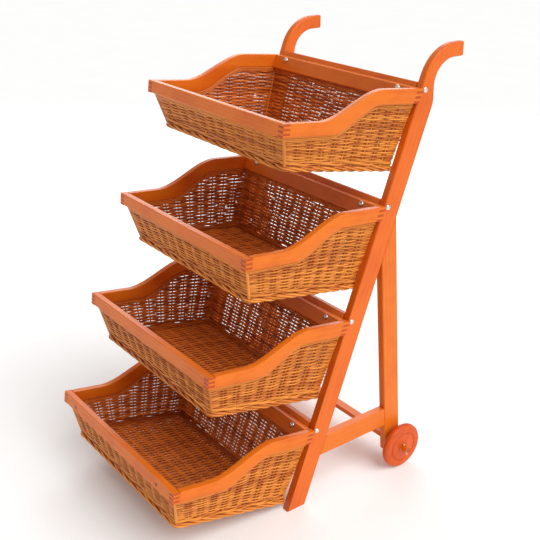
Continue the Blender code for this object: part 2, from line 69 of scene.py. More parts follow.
# %% Camera and colour
EYE = (1.8707, -1.3542, 1.6119)
TURNED = math.radians(52.85)
DOWN = math.radians(23.73)

lens = bpy.data.cameras.new("Camera")
lens.lens = 60.53
lens.sensor_width = 36
camera = bpy.data.objects.new("Camera", lens)
camera.location = EYE
camera.rotation_euler = (math.pi / 2 - DOWN, 0, TURNED)
scene.collection.objects.link(camera)
scene.camera = camera
scene.view_settings.view_transform = "Standard"
print("camera", round((camera.location - Vector((0, 0, 0.6))).length, 2), "m from the stand")

# %% [markdown]
# ## A white studio
# Varnished wood needs something broad and bright to mirror, or it looks like plastic. A
# white world gives light from everywhere, and a very wide sun from the right makes the
# near sides glow without hard shadows. A sun lights the whole floor alike, which keeps
# the background white. A square lamp behind draws pale edges along the tops.

# %% Lights
ROOM_POWER = 0.55
SUN_POWER = 2.3
SUN_SPREAD = math.radians(55)
SUN_FROM = (1.0, 0.22, 1.05)
LAMP_POWER = 48
LAMP_SIZE = 2.6
LAMP_PLACE = (-2.5, 2.2, 2.3)
LAMP_AIM = (0, 0, 0.7)


def hang_lamp(light, place, back):
    """Puts a lamp in the scene with its back to a direction, so that it shines the other way."""
    lamp = bpy.data.objects.new(light.name, light)
    lamp.location = place
    lamp.rotation_euler = back.to_track_quat("Z", "Y").to_euler()
    scene.collection.objects.link(lamp)


room = bpy.data.worlds.new("White room")
room.use_nodes = True
room.node_tree.nodes["Background"].inputs["Color"].default_value = (1, 1, 1, 1)
room.node_tree.nodes["Background"].inputs["Strength"].default_value = ROOM_POWER
scene.world = room
sunlight = bpy.data.lights.new("Wide light from the right", "SUN")
sunlight.angle = SUN_SPREAD
sunlight.energy = SUN_POWER
hang_lamp(sunlight, (0, 0, 0), Vector(SUN_FROM))
square = bpy.data.lights.new("Light from behind", "AREA")
square.shape = "SQUARE"
square.size = LAMP_SIZE
square.energy = LAMP_POWER
hang_lamp(square, LAMP_PLACE, Vector(LAMP_PLACE) - Vector(LAMP_AIM))

# %% [markdown]
# ## Writing shaders as sums
# A material is a small program drawn as nodes. Linking dozens of them by hand hides what
# they compute, so we wrap an output socket in a class and give it the signs of
# arithmetic. `2 * grain + 0.1` then makes the nodes for us. Anything that isn't
# arithmetic goes through one method that adds a node, sets it up and fills its inputs.

# %% The socket class
class Value:
    """An output of a node, on which sums make more nodes."""

    def __init__(self, tree, socket=None):
        self.tree = tree
        self.socket = socket

    def node(self, kind, settings=None, inputs=None, output=0):
        """Adds a node: first its settings, then its inputs, each a value or a number."""
        made = self.tree.nodes.new(kind)
        for name, setting in (settings or {}).items():
            setattr(made, name, setting)
        for name, value in (inputs or {}).items():
            if isinstance(value, Value):
                self.tree.links.new(value.socket, made.inputs[name])
            else:
                made.inputs[name].default_value = value
        return Value(self.tree, made.outputs[output])

    def maths(self, operation, first, second):
        """A Math node, or a Vector Math node where either side is a vector or a colour."""
        sides = [first, second]
        wide = any(isinstance(side, Value) and side.socket.type != "VALUE" for side in sides)
        if wide:
            sides = [(side,) * 3 if isinstance(side, (int, float)) else side for side in sides]
        kind = "ShaderNodeVectorMath" if wide else "ShaderNodeMath"
        return self.node(kind, {"operation": operation}, dict(enumerate(sides)))

    def __add__(self, other):
        return self.maths("ADD", self, other)

    def __radd__(self, other):
        return self.maths("ADD", other, self)

    def __sub__(self, other):
        return self.maths("SUBTRACT", self, other)

    def __rsub__(self, other):
        return self.maths("SUBTRACT", other, self)

    def __mul__(self, other):
        return self.maths("MULTIPLY", self, other)

    def __rmul__(self, other):
        return self.maths("MULTIPLY", other, self)

    def measure(self, operation, other):
        """One number from two vectors, such as their dot product or their distance."""
        inputs = {0: self, 1: other}
        return self.node("ShaderNodeVectorMath", {"operation": operation}, inputs, 1)

    def ramp(self, start, end, low=0.0, high=1.0):
        """Goes smoothly from low to high while this value goes from start to end."""
        inputs = {0: self, 1: start, 2: end, 3: low, 4: high}
        return self.node("ShaderNodeMapRange", {"interpolation_type": "SMOOTHSTEP"}, inputs)

    def noise(self, scale, detail=2.0, rough=0.5):
        """Cloudy noise at this place."""
        inputs = {"Vector": self, "Scale": scale, "Detail": detail, "Roughness": rough}
        return self.node("ShaderNodeTexNoise", None, inputs)

    def blend(self, first, second):
        """Goes from the first colour to the second as this value goes from 0 to 1."""
        inputs = {0: self, 6: first, 7: second}
        return self.node("ShaderNodeMix", {"data_type": "RGBA"}, inputs, 2)


def new_material(name):
    """A material, its shader, and a value to start its nodes from."""
    material = bpy.data.materials.new(name)
    material.use_nodes = True
    return material, material.node_tree.nodes["Principled BSDF"], Value(material.node_tree)


def feed(shader, name, value):
    """Links a varying value to one of the shader's inputs."""
    value.tree.links.new(value.socket, shader.inputs[name])


print("operators:", [name for name in vars(Value) if name.startswith("__") and name != "__init__"])

# %% [markdown]
# ## The floor
# A pale matt floor catches the soft shadows under the wheels and feet, which is what
# tells the eye that the stand has weight. A faint cloudiness keeps it from looking like
# a flat fill.

# %% Pale floor
material, shader, start = new_material("Pale floor")
place = start.node("ShaderNodeTexCoord", output="Object")
feed(shader, "Base Color", place.noise(3.0).blend((0.92, 0.92, 0.91, 1), (0.95, 0.95, 0.945, 1)))
shader.inputs["Roughness"].default_value = 0.85
shader.inputs["Specular IOR Level"].default_value = 0.2
bpy.ops.mesh.primitive_plane_add(size=60)
floor = bpy.context.object
floor.name = "Floor"
floor.data.materials.append(material)
print("floor", tuple(floor.dimensions))

# %% [markdown]
# ## Stained wood
# The frame is pale softwood under an orange stain and a satin varnish. Grain runs along
# a timber, so we turn the texture's space until its X lies along the piece and stretch
# it. Slightly wavy rings about that axis give the darker lines that a board shows where
# it was cut from the log. Where a face looks along the grain it is end grain, which
# drinks more stain, and that is what makes finger joints stand out. A knot is a dark
# spot with a frayed edge.

# %% Wood material
LIGHT_STAIN = (0.74, 0.165, 0.008, 1)
DARK_STAIN = (0.60, 0.088, 0.004, 1)
END_STAIN = (0.42, 0.045, 0.004, 1)
KNOT_STAIN = (0.16, 0.02, 0.006, 1)
GRAIN_STRETCH = (9, 1, 1)
HEART_OF_LOG = (0.03, 0.07, -0.05)


def stained_wood(name, along, light=LIGHT_STAIN, dark=DARK_STAIN, knots=()):
    """Varnished wood with its grain along a direction. Knots are (point, radius)."""
    material, shader, start = new_material(name)
    along = Vector(along).normalized()
    turn = Vector((1, 0, 0)).rotation_difference(along).to_euler()
    place = start.node("ShaderNodeTexCoord", output="Object")
    board = start.node(
        "ShaderNodeMapping",
        {"vector_type": "TEXTURE"},
        {"Vector": place, "Location": HEART_OF_LOG, "Rotation": turn, "Scale": GRAIN_STRETCH},
    )
    sway = board.noise(14.0, 2.0)
    rings = start.node(
        "ShaderNodeTexWave",
        {"wave_type": "RINGS", "rings_direction": "X", "wave_profile": "SIN"},
        {"Vector": board, "Scale": 38.0, "Distortion": 5.0, "Detail": 2.0, "Detail Scale": 0.6},
        1,
    )
    streaks = board.noise(260.0, 3.0, 0.6)
    patches = place.noise(9.0, 2.0)
    grain = 0.22 * rings + 0.34 * streaks.ramp(0.3, 0.75) + 1.5 * (patches - 0.38)
    colour = grain.ramp(0.1, 1.1, 0.0, 0.72).blend(light, dark)

    facing = start.node("ShaderNodeTexCoord", output="Normal").measure("DOT_PRODUCT", along)
    end_grain = (facing * facing).ramp(0.6, 0.95)
    colour = (end_grain * 0.8).blend(colour, END_STAIN)
    for point, radius in knots:
        frayed = place.measure("DISTANCE", point) + 0.004 * (streaks - 0.5)
        colour = frayed.ramp(radius * 0.6, radius * 1.2, 1.0, 0.0).blend(colour, KNOT_STAIN)
    feed(shader, "Base Color", colour)
    feed(shader, "Roughness", 0.30 + 0.16 * streaks + 0.12 * end_grain + 0.05 * sway)
    bump = {"Strength": 0.10, "Distance": 0.0003, "Height": 0.6 * rings + 0.4 * streaks}
    feed(shader, "Normal", start.node("ShaderNodeBump", None, bump))
    shader.inputs["Specular IOR Level"].default_value = 0.22
    shader.inputs["Coat Weight"].default_value = 0.16
    shader.inputs["Coat Roughness"].default_value = 0.15
    return material


print("stains:", LIGHT_STAIN[:3], "to", DARK_STAIN[:3])

# %% [markdown]
# ## One wood for each direction
# A board is sawn along its grain, so timbers that lean, lie along the depth or lie
# across each need their own direction. The uprights took the stain a little redder. The
# wheels are turned from a redder wood whose grain runs straight across the disc.

# %% The woods
SLANT = math.radians(20.6)
LEG_LEAN = math.radians(5.1)
KNOTS = (
    ((-0.2264, -0.4593, 0.2111), 0.0052),
    ((0.2193, -0.4593, 0.2119), 0.0052),
    ((0.2805, -0.2340, 0.7751), 0.0025),
)
REDDER = ((0.74, 0.138, 0.007, 1), (0.58, 0.080, 0.004, 1))
REDDEST = ((0.66, 0.095, 0.005, 1), (0.48, 0.050, 0.003, 1))
upright_wood = stained_wood("Upright wood", (0, math.sin(SLANT), math.cos(SLANT)), *REDDER)
leg_wood = stained_wood("Leg wood", (0, -math.sin(LEG_LEAN), math.cos(LEG_LEAN)))
depth_wood = stained_wood("Wood along the depth", (0, 1, 0))
cross_wood = stained_wood("Wood across", (1, 0, 0), knots=KNOTS)
wheel_wood = stained_wood("Wheel wood", (0, 0.3, 1), *REDDEST)
print(len(upright_wood.node_tree.nodes), "nodes in the wood,", len(KNOTS), "knots")

# %% [markdown]
# ## Steel
# The bolts and pins are plated steel: a metal whose only detail is fine brushing. A
# noise far finer than a bolt's head varies its shine.

# %% Plated steel
steel, shader, start = new_material("Plated steel")
brushing = start.node("ShaderNodeTexCoord", output="Object").noise(900.0, 2.0)
feed(shader, "Base Color", brushing.blend((0.62, 0.62, 0.60, 1), (0.82, 0.81, 0.78, 1)))
feed(shader, "Roughness", 0.18 + 0.2 * brushing)
shader.inputs["Metallic"].default_value = 1.0
print(len(steel.node_tree.nodes), "nodes in the steel")

# %% [markdown]
# ## Straight timbers
# Cross rails, rear legs and lower rails are straight boards with eased edges. The solid
# model already has them right, so they only swap their plain colour for wood whose
# grain follows each one.

# %% Finish for the straight timbers
def repaint(name, material):
    """Gives a solid of the model a better material."""
    nodes[name].data.materials.clear()
    nodes[name].data.materials.append(material)


lying = ["rear_cross_rail"] + [f"cross_rail_{number}" for number in range(1, 5)]
for name in lying:
    repaint(name, cross_wood)
for side in ("left", "right"):
    repaint(f"rear_leg_{side}", leg_wood)
    repaint(f"side_rail_{side}", depth_wood)
print("repainted", len(lying), "rails across, two legs and two rails along the depth")

# %% [markdown]
# ## Helpers for new pieces
# Every new piece is a mesh that moves with a body of the stand and stands in for the
# solids it improves on. One helper keeps these steps together. The other turns what we
# build with mesh operators into a mesh that looks round where it should and sharp where
# two faces meet at an edge.

# %% Mesh helpers
def make_piece(name, mesh, material, replaced, body="stand", place=None):
    """Puts a mesh in the scene in place of some solids, riding on a body."""
    piece = bpy.data.objects.new(name, mesh)
    mesh.materials.append(material)
    scene.collection.objects.link(piece)
    piece.matrix_world = place or Matrix.Identity(4)
    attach(piece, body)
    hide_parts(*replaced)
    return piece


def mesh_from(name, shape, sharp=40):
    """A smooth-shaded mesh from a bmesh, kept sharp where it turns by more than some degrees."""
    bmesh.ops.recalc_face_normals(shape, faces=shape.faces)
    mesh = bpy.data.meshes.new(name)
    shape.to_mesh(mesh)
    shape.free()
    mesh.shade_smooth()
    if sharp:
        mesh.set_sharp_from_angle(angle=math.radians(sharp))
    return mesh


def board(outline, along):
    """A bmesh of a flat outline swept along a vector."""
    shape = bmesh.new()
    face = shape.faces.new([shape.verts.new(point) for point in outline])
    swept = bmesh.ops.extrude_face_region(shape, geom=[face])
    moved = [part for part in swept["geom"] if isinstance(part, bmesh.types.BMVert)]
    bmesh.ops.translate(shape, verts=moved, vec=along)
    return shape


trial = board([(0, 0, 0), (0, 1, 0), (0, 1, 1), (0, 0, 1)], (1, 0, 0))
print("a board of four corners has", len(trial.faces), "faces")
trial.free()

# %% [markdown]
# ## Uprights that end in handles
# Each upright is one board sawn to a hook at the top, like a walking stick, so that the
# stand can be tipped onto its wheels and pushed. Sawn shapes are drawn flat and then
# swept through the thickness of the board, so we start with the side view, in fine arcs.

# %% Side view of an upright
FOOT_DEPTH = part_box("upright_left")[0].y
HALF_STAND = 0.295
TIMBER = 0.023
UPRIGHT_WIDTH = 0.0555
BEND_HEIGHT = 1.1085
BEND_INSIDE = 0.069
BEND_STEPS = 36
GRIP_THICK = 0.038
GRIP_REACH = 0.030
NECK_FILLET = 0.080
NECK_STEPS = 10


def arc(centre, radius, start, end, steps):
    """Points of an arc in the side view, angles from the rear towards up."""
    turns = [start + (end - start) * step / steps for step in range(steps + 1)]
    return [(centre[0] + radius * math.cos(t), centre[1] + radius * math.sin(t)) for t in turns]


def upright_outline():
    """Side view of an upright as (depth, height): foot, front, bend, grip, neck, back."""
    outside = BEND_INSIDE + GRIP_THICK
    back = UPRIGHT_WIDTH / math.cos(SLANT)
    centre = (BEND_HEIGHT * math.tan(SLANT) + outside / math.cos(SLANT), BEND_HEIGHT)
    tip = centre[0] + GRIP_REACH
    points = [(0, 0)]
    points += arc(centre, outside, math.pi - SLANT, math.pi / 2, BEND_STEPS)
    points += [(tip, centre[1] + outside), (tip, centre[1] + BEND_INSIDE)]
    points += arc(centre, BEND_INSIDE, math.pi / 2, math.pi, BEND_STEPS)
    neck = centre[0] - BEND_INSIDE
    fillet = (neck - back) / math.tan(SLANT) + NECK_FILLET * math.tan(SLANT / 2)
    points += arc((neck - NECK_FILLET, fillet), NECK_FILLET, 0, -SLANT, NECK_STEPS)
    return points + [(back, 0)]


print("uprights", round(max(height for _, height in upright_outline()), 4), "m high")

# %% [markdown]
# ## Rounding the uprights
# The hook is rounded well over for the hand, while the straight part has only its
# corners broken. A weight on each edge, which grows along the start of the bend, tells
# one Bevel modifier how far to round it.

# %% Uprights
HOOK_ROUND = 0.0065
SHAFT_ROUND = 0.0015
TIP_ROUND = 0.0025
ROUNDING_STARTS = BEND_HEIGHT - 0.03
ROUNDING_GROWS = 0.06
# Points that differ by less than this along an axis count as level.
LEVEL = 0.001


def weigh_edges(shape):
    """Sets how far each edge is rounded, as a share of the hook's rounding."""
    weight = shape.edges.layers.float.new("bevel_weight_edge")
    tip = max(corner.co.y for corner in shape.verts) - LEVEL
    for edge in shape.edges:
        a, b = (corner.co for corner in edge.verts)
        if min(a.y, b.y) > tip:
            edge[weight] = TIP_ROUND / HOOK_ROUND
        elif abs(a.x - b.x) < LEVEL:
            bend = min(max((min(a.z, b.z) - ROUNDING_STARTS) / ROUNDING_GROWS, 0), 1)
            edge[weight] = bend + (1 - bend) * SHAFT_ROUND / HOOK_ROUND


for side, x in (("left", -HALF_STAND), ("right", HALF_STAND - TIMBER)):
    outline = [(x, depth + FOOT_DEPTH, height) for depth, height in upright_outline()]
    shape = board(outline, (TIMBER, 0, 0))
    weigh_edges(shape)
    name = f"upright_{side}"
    mesh = mesh_from(name, shape, sharp=None)
    piece = make_piece(f"{name}_shaped", mesh, upright_wood, [name])
    bevel = piece.modifiers.new("Rounding", "BEVEL")
    bevel.limit_method = "WEIGHT"
    bevel.width = HOOK_ROUND
    bevel.segments = 5
    bevel.use_clamp_overlap = False
    bevel.harden_normals = True
    print(piece.name, len(mesh.vertices), "points before rounding")

# %% [markdown]
# ## The place of each basket
# A basket hangs between the uprights with its back rail against them, tipped back a
# little more the lower it sits. Working in the basket's own axes (across, depth from its
# front edge, height over that edge) keeps every number simple. A matrix then carries
# the finished mesh to its tier.

# %% Basket axes
RIM_HALF = 0.300
RIM_DEPTH = 0.438
RIM_THICK = 0.019
RIM_RISE = 0.072
FRONT_HEIGHT = 0.0325
BACK_HEIGHT = 0.037
SEAT_OVER_BOLTS = 0.005
WALL_INSET = 0.002
FIT = 0.0003
# For each tier: height of its bolts, lean in degrees, how far its base hangs down.
TIERS = ((1.108, 6.6, 0.124), (0.818, 5.1, 0.135), (0.522, 7.6, 0.135), (0.226, 9.2, 0.135))


def basket_place(bolts, lean):
    """The matrix from a basket's own axes to the stand's."""
    turn = math.radians(lean)
    seat = bolts + SEAT_OVER_BOLTS
    depth = seat * math.tan(SLANT) - FIT / math.cos(SLANT)
    depth -= RIM_DEPTH * math.cos(turn) + RIM_RISE * math.sin(turn)
    height = seat + RIM_DEPTH * math.sin(turn) - RIM_RISE * math.cos(turn)
    return Matrix.Translation((0, depth + FOOT_DEPTH, height)) @ Matrix.Rotation(-turn, 4, "X")


def rear_face(height, lean):
    """Depth of the rim's rear face, which lies along the uprights."""
    return RIM_DEPTH - (RIM_RISE - height) * math.tan(SLANT - math.radians(lean))


baskets = []
for number, (bolts, lean, drop) in enumerate(TIERS, start=1):
    basket = {
        "name": f"basket_{number}",
        "bolts": bolts,
        "lean": lean,
        "drop": drop,
        "place": basket_place(bolts, lean),
        "under_rim": rear_face(RIM_RISE - BACK_HEIGHT, lean) - WALL_INSET,
    }
    baskets.append(basket)
    print(basket["name"], "front edge at", rounded([basket["place"].translation])[0])

# %% [markdown]
# ## The S of the rims
# The sides of a rim are sawn in a long S, low at the front so that goods can be seen.
# The same S is needed for the wood and for the wicker below it, so it is a function of
# the depth that takes single numbers and whole arrays.

# %% The S as a function
S_TOP = (0.112, 0.308)
S_LOW = (0.150, 0.302)


def rise(depth, start, end):
    """A smooth step from 0 to 1 between two depths."""
    share = np.clip((depth - start) / (end - start), 0, 1)
    return share * share * (3 - 2 * share)


def rim_top(depth):
    """Height of a side rail's upper edge."""
    return RIM_RISE * rise(depth, *S_TOP)


def rim_low(depth):
    """Height of a side rail's lower edge."""
    climb = FRONT_HEIGHT + RIM_RISE - BACK_HEIGHT
    return climb * rise(depth, *S_LOW) - FRONT_HEIGHT


halfway = sum(S_TOP) / 2
print("halfway along the S, a rail is", round(float(rim_top(halfway) - rim_low(halfway)), 4), "m high")

# %% [markdown]
# ## Rims with finger joints
# At the corners, boards lock together with square fingers, as in a drawer. We draw the
# S finely and cut the same comb of fingers at both ends as the solid model has. The
# front and back rails are straight, so the solid model's own ones stay.

# %% Side rails of the rims
FINGERS = 6
S_POINTS = 40
RAIL_ROUND = 0.0018


def comb(high, low, first_is_own, root):
    """The end of a rail from its top down: fingers reach 0, notches go back to the root."""
    points = []
    for finger in range(FINGERS):
        own = (finger % 2 == 0) == first_is_own
        trim = FIT / 2 if own else -FIT / 2
        top = high + (low - high) * finger / FINGERS - (trim if finger else 0)
        bottom = high + (low - high) * (finger + 1) / FINGERS
        bottom += trim if finger < FINGERS - 1 else 0
        points += [(0 if own else -root, top), (0 if own else -root, bottom)]
    return points


def side_outline(lean):
    """Side view of a basket's side rail in its own axes."""
    depths = np.linspace(*S_TOP, S_POINTS)
    root = (RIM_THICK + FIT) / math.cos(SLANT - math.radians(lean))
    back = comb(RIM_RISE, RIM_RISE - BACK_HEIGHT, True, root)
    front = comb(0, -FRONT_HEIGHT, False, RIM_THICK + FIT)
    points = [(depth, float(rim_top(depth))) for depth in depths]
    points += [(rear_face(height, lean) + reach, height) for reach, height in back]
    points += [(depth, float(rim_low(depth))) for depth in depths[::-1]]
    return points + [(-reach, height) for reach, height in reversed(front)]


def long_edge(edge):
    """Whether an edge runs along a rail, in its S or straight, and not across or at a finger."""
    a, b = (corner.co for corner in edge.verts)
    in_curve = all(S_TOP[0] - LEVEL < end.y < S_TOP[1] + LEVEL for end in (a, b))
    return abs(a.x - b.x) < LEVEL and (in_curve or abs(a.y - b.y) > 2 * RIM_THICK)


for basket in baskets:
    outline = side_outline(basket["lean"])
    for side, x in (("left", -RIM_HALF), ("right", RIM_HALF - RIM_THICK)):
        shape = board([(x, depth, height) for depth, height in outline], (RIM_THICK, 0, 0))
        eased = [edge for edge in shape.edges if long_edge(edge)]
        bmesh.ops.bevel(
            shape, geom=eased, offset=RAIL_ROUND, segments=3, profile=0.5, affect="EDGES"
        )
        name = f"{basket['name']}_{side}_rail"
        mesh = mesh_from(name, shape)
        make_piece(f"{name}_shaped", mesh, depth_wood, [name], place=basket["place"])
    for rail in ("front", "back"):
        repaint(f"{basket['name']}_{rail}_rail", cross_wood)
    print(basket["name"], "side outline has", len(outline), "points")

# %% [markdown]
# ## A lathe
# Bolts, wheels, pins and the dowel are all turned. We give half a section as distances
# along the axis and radii, and turn it about X. A piece with a hole has a section that
# ends where it began, so its two ends are sewn together.

# %% Lathe helpers
def lathed(profile, steps):
    """A bmesh of (along, radius) points turned about X, open ends closed."""
    shape = bmesh.new()
    turns = [math.tau * step / steps for step in range(steps)]
    rings = [
        [shape.verts.new((along, radius * math.sin(t), radius * math.cos(t))) for t in turns]
        for along, radius in profile
    ]
    for first, second in zip(rings, rings[1:]):
        for step in range(steps):
            after = (step + 1) % steps
            shape.faces.new((first[step], first[after], second[after], second[step]))
    shape.faces.new(rings[0])
    shape.faces.new(rings[-1])
    return shape


def lathed_ring(profile, steps):
    """A turned piece with a hole: the profile's last point is its first."""
    shape = lathed(profile, steps)
    caps = [face for face in shape.faces if len(face.verts) > 4]
    bmesh.ops.delete(shape, geom=caps, context="FACES_ONLY")
    bmesh.ops.remove_doubles(shape, verts=shape.verts, dist=1e-6)
    return shape


def aimed(place, direction):
    """A matrix that carries X onto a direction, at a place."""
    turn = Vector((1, 0, 0)).rotation_difference(Vector(direction))
    return Matrix.Translation(place) @ turn.to_matrix().to_4x4()


print("X aimed up:", rounded([aimed((0, 0, 0), (0, 0, 1)) @ Vector((1, 0, 0))])[0])

# %% [markdown]
# ## Bolts
# Round-headed bolts hold the cross rails to the uprights and each basket to its cross
# rail. A dome of many steps catches one small highlight from each lamp.

# %% Bolts
HEAD = 0.0155
HEAD_HIGH = 0.0045
SHANK_RADIUS = 0.003
FRAME_BOLT_LENGTH = 0.055
BASKET_BOLT_LENGTH = 0.037
BASKET_BOLT_INSET = 0.065
BASKET_BOLT_LOWER = 0.013
BOTH_SIDES = (("left", -1), ("right", 1))


def bolt_mesh(name, length):
    """A domed bolt: its head at negative X, its shank towards positive X."""
    dome = np.linspace(1.5, 0.12, 10)
    crown = [(-HEAD_HIGH * math.sin(t), HEAD / 2 * math.cos(t)) for t in dome]
    rim = [(0, HEAD / 2), (0, SHANK_RADIUS), (length, SHANK_RADIUS)]
    return mesh_from(name, lathed(crown + rim, 40))


for number, basket in enumerate(baskets, start=1):
    on_plane = basket["bolts"] + math.sin(SLANT) * TIMBER / 2
    tier = Matrix.Translation((0, on_plane * math.tan(SLANT) + FOOT_DEPTH, on_plane))
    tier = tier @ Matrix.Rotation(-SLANT, 4, "X")
    for side, sign in BOTH_SIDES:
        name = f"frame_bolt_{number}_{side}"
        place = tier @ aimed((sign * (HALF_STAND + FIT), TIMBER / 2, 0), (-sign, 0, 0))
        mesh = bolt_mesh(name, FRAME_BOLT_LENGTH)
        make_piece(f"{name}_domed", mesh, steel, [name], place=place)
        name = f"basket_bolt_{number}_{side}"
        across = sign * (HALF_STAND - BASKET_BOLT_INSET)
        head = (across, -2 * FIT - RIM_THICK, -BASKET_BOLT_LOWER)
        mesh = bolt_mesh(name, BASKET_BOLT_LENGTH)
        place = tier @ aimed(head, (0, 1, 0))
        make_piece(f"{name}_domed", mesh, steel, [name], place=place)
print("bolt head", HEAD * 1000, "mm across")

# %% [markdown]
# ## The section of a wheel
# Each wheel is a turned disc with a rounded tread, a shallow ring cut by the lathe and a
# small boss on both faces. We list its half section from the inner bore, over the tread,
# to the outer bore, with arcs where a tool would leave a curve.

# %% Wheel section
AXLE_RADIUS = 0.0095
BORE = AXLE_RADIUS + 0.0005
SPACER_START = HALF_STAND + FIT
SPACER_THICK = 0.011
WHEEL_START = SPACER_START + SPACER_THICK + FIT
WHEEL_THICK = 0.022
WHEEL_RADIUS = 0.068
TREAD_ROUND = 0.010
HUB_RADIUS = 0.0165
HUB_PROUD = 0.0025
WHEEL_END = WHEEL_START + WHEEL_THICK + 2 * HUB_PROUD
GROOVE_RADIUS = 0.0435
GROOVE_HALF = 0.0018
GROOVE_DEEP = 0.002
EASED = 0.0005


def wheel_profile():
    """Half section of a wheel from its inner bore to its outer bore, as (along, radius)."""
    inside = WHEEL_START + HUB_PROUD
    outside = inside + WHEEL_THICK
    shoulder = WHEEL_RADIUS - TREAD_ROUND
    quarter = [
        (TREAD_ROUND * (1 - math.cos(t)), shoulder + TREAD_ROUND * math.sin(t))
        for t in np.linspace(0, math.pi / 2, 10)
    ]
    hub = [(WHEEL_START, BORE), (WHEEL_START, HUB_RADIUS), (inside, HUB_RADIUS)]
    inner = [(inside + along, radius) for along, radius in quarter]
    outer = [(outside - along, radius) for along, radius in quarter[::-1]]
    groove = [
        (outside - GROOVE_DEEP * math.sin(t), GROOVE_RADIUS + GROOVE_HALF * math.cos(t))
        for t in np.linspace(0, math.pi, 7)
    ]
    boss = [
        (outside, HUB_RADIUS + 2 * EASED),
        (outside + EASED, HUB_RADIUS),
        (outside + HUB_PROUD - EASED, HUB_RADIUS),
        (outside + HUB_PROUD, HUB_RADIUS - EASED),
        (outside + HUB_PROUD, BORE),
    ]
    return hub + inner + outer + groove + boss + [hub[0]]


print("wheel section has", len(wheel_profile()), "points")

# %% [markdown]
# ## Wheels, spacers, pins and the dowel
# A dowel through both legs carries the wheels. A turned spacer keeps each wheel off its
# leg, and a wire pin through the dowel's end keeps it on. The wheels ride on their own
# bodies, so that they spin.

# %% Wheels
AXLE_CENTRE = (0, 0.30183, 0.068)
AXLE_PAST_WHEEL = 0.019
AXLE_CHAMFER = 0.0012
COLLAR_EDGE = 0.001
PIN_PAST_WHEEL = 0.0035
PIN_LEAN = math.radians(20)
PIN_PROFILE = [
    (-0.014, 0.0001), (-0.014, 0.003), (-0.0135, 0.0035), (-0.0125, 0.0035),
    (-0.012, 0.003), (-0.012, 0.0015), (0.032, 0.0015), (0.034, 0.0004),
]

spacer_end = SPACER_START + SPACER_THICK
collar = [
    (SPACER_START, BORE),
    (SPACER_START, HUB_RADIUS - COLLAR_EDGE),
    (SPACER_START + COLLAR_EDGE, HUB_RADIUS),
    (spacer_end - COLLAR_EDGE, HUB_RADIUS),
    (spacer_end, HUB_RADIUS - COLLAR_EDGE),
    (spacer_end, BORE),
    (SPACER_START, BORE),
]
for side, sign in BOTH_SIDES:
    place = aimed(AXLE_CENTRE, (sign, 0, 0))
    name = f"wheel_{side}"
    mesh = mesh_from(name, lathed_ring(wheel_profile(), 96))
    make_piece(f"{name}_turned", mesh, wheel_wood, [name], name, place)
    name = f"wheel_spacer_{side}"
    mesh = mesh_from(name, lathed_ring(collar, 64))
    make_piece(f"{name}_turned", mesh, wheel_wood, [name], place=place)
    name = f"axle_pin_{side}"
    across = Vector((sign * (WHEEL_END + FIT + PIN_PAST_WHEEL), 0, 0))
    place = aimed(Vector(AXLE_CENTRE) + across, (0, math.sin(PIN_LEAN), -math.cos(PIN_LEAN)))
    mesh = mesh_from(name, lathed(PIN_PROFILE, 24))
    make_piece(f"{name}_turned", mesh, steel, [name], place=place)

half_axle = WHEEL_END + AXLE_PAST_WHEEL
dowel = [
    (-half_axle, AXLE_RADIUS - AXLE_CHAMFER),
    (-half_axle + AXLE_CHAMFER, AXLE_RADIUS),
    (half_axle - AXLE_CHAMFER, AXLE_RADIUS),
    (half_axle, AXLE_RADIUS - AXLE_CHAMFER),
]
mesh = mesh_from("axle", lathed(dowel, 48))
place = Matrix.Translation(AXLE_CENTRE)
make_piece("axle_turned", mesh, cross_wood, ["axle"], place=place)
print("axle", round(2 * half_axle, 4), "m long")

# %% [markdown]
# ## Wicker
# Willow rods are stained with the frame, but no two take the colour alike. We store one
# tone per rod in the mesh and let the material mix a golden and a dark brown by it.
# Fine noise adds the freckles and dull patches of peeled willow. A face that looks
# towards the basket's middle gets a second, darker and redder mix, which is painted
# shade for the inside of the basket.

# %% Wicker material
BASKET_MIDDLE = (0.0, 0.22, -0.05)

wicker, shader, start = new_material("Wicker")
place = start.node("ShaderNodeTexCoord", output="Object")
tone = start.node("ShaderNodeAttribute", {"attribute_name": "tone"}, None, 2)
freckles = place.noise(420.0, 3.0, 0.6)
patches = place.noise(38.0, 2.0)
mixed = tone + 0.35 * (patches - 0.5) + 0.45 * (freckles - 0.5)
golden = mixed.ramp(0.0, 1.0).blend((0.37, 0.062, 0.005, 1), (0.83, 0.30, 0.042, 1))
# Painted shade: a darker, redder mix for the faces that look into the basket.
shaded_inside = mixed.ramp(0.0, 1.0).blend((0.28, 0.040, 0.005, 1), (0.78, 0.205, 0.024, 1))
facing = start.node("ShaderNodeTexCoord", output="Normal")
looks_out = facing.measure("DOT_PRODUCT", place - BASKET_MIDDLE)
# Faces that look towards the basket's middle take the painted shade.
feed(shader, "Base Color", looks_out.ramp(-0.05, 0.06).blend(shaded_inside, golden))
feed(shader, "Roughness", 0.30 + 0.25 * freckles)
bump = {"Strength": 0.25, "Distance": 0.0004, "Height": freckles}
feed(shader, "Normal", start.node("ShaderNodeBump", None, bump))
shader.inputs["Specular IOR Level"].default_value = 0.25
shader.inputs["Coat Weight"].default_value = 0.15
shader.inputs["Coat Roughness"].default_value = 0.2
print(len(wicker.node_tree.nodes), "nodes in the wicker")

# %% [markdown]
# ## The plan of a basket
# The walls taper inwards on their way down to a smaller base. We number the upright
# stakes round the basket from the front left corner, thirteen along the front and the
# back and ten along each side. The plan then gives a point for any stake number, also
# between two stakes, with rounded corners.

# %% Plan
# The stake number at each corner, and the way that the wall runs after it.
CORNERS = np.array([0, 13, 23, 36, 46])
AHEAD = np.array([(1, 0), (0, 1), (-1, 0), (0, -1)], float)
# How far each corner's rounding reaches, at the rim and at the base.
REACH = np.array([(0.013, 0.006), (0.013, 0.006), (0.004, 0.004), (0.004, 0.004)])
